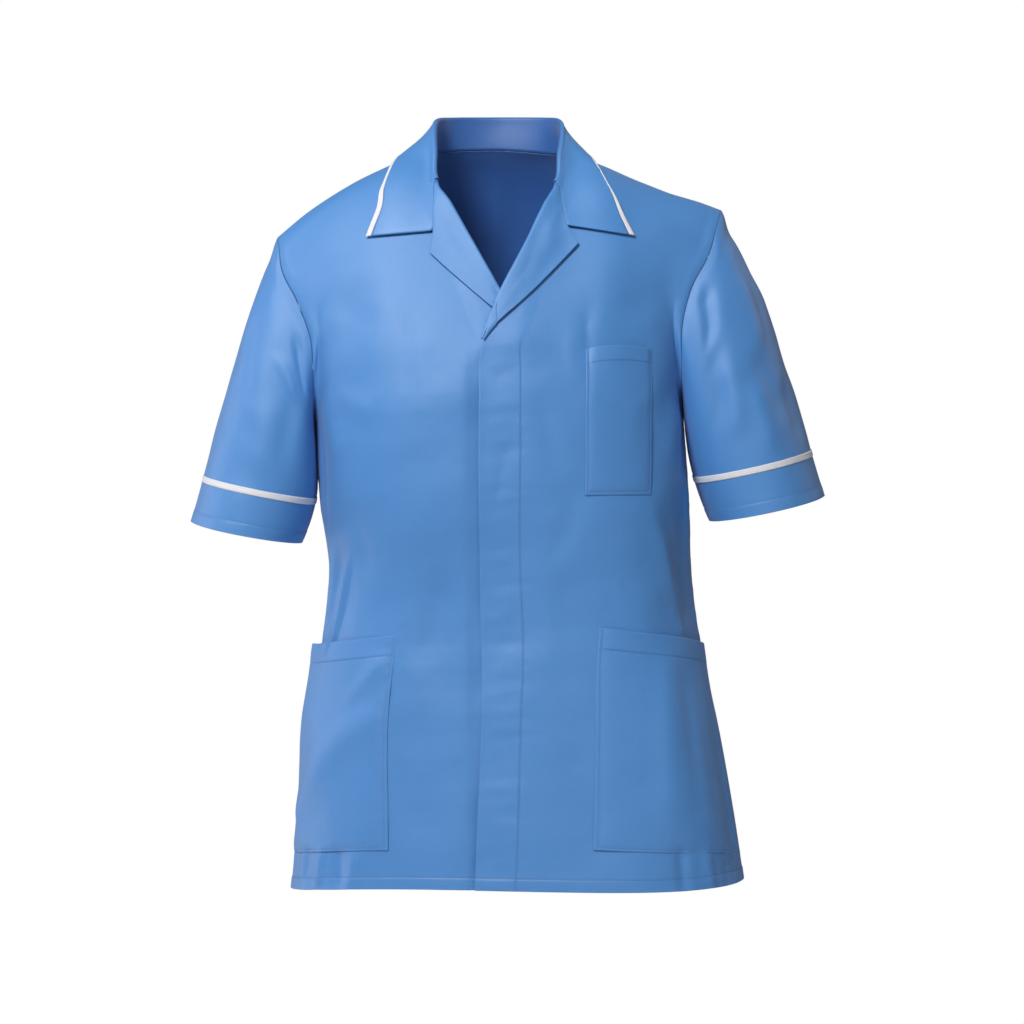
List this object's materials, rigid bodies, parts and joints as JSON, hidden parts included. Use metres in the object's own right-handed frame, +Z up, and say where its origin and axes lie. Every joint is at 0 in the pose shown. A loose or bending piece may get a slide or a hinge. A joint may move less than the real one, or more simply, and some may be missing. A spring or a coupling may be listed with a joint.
{
  "type": "work tunic",
  "caption": "Short-sleeved work tunic in worn form, with a convertible collar worn open, revere lapels, a concealed front fastening and patch pockets, open at neck, sleeves and hem.",
  "frame": {"origin": "between the shoulders, level with the neck seam at the side of the neck, where the wearer holds the tunic up", "axes": "+X towards the wearer's left, +Y towards the back, +Z up along the body"},
  "size_m": [0.652, 0.2666, 0.7933],
  "materials": {
    "blue_polycotton": "matt twill-weave polyester and cotton, dyed mid blue",
    "white_tape": "matt white woven piping and tape"
  },
  "bodies": {
    "root": {"back": "blue_polycotton", "front_left": "blue_polycotton", "front_right": "blue_polycotton", "lapel_left": "blue_polycotton", "lapel_right": "blue_polycotton", "collar": "blue_polycotton", "collar_piping": "white_tape", "sleeve_left": "blue_polycotton", "sleeve_right": "blue_polycotton", "sleeve_tape_left": "white_tape", "sleeve_tape_right": "white_tape", "chest_pocket": "blue_polycotton", "hip_pocket_left": "blue_polycotton", "hip_pocket_right": "blue_polycotton"}
  },
  "joints": []
}
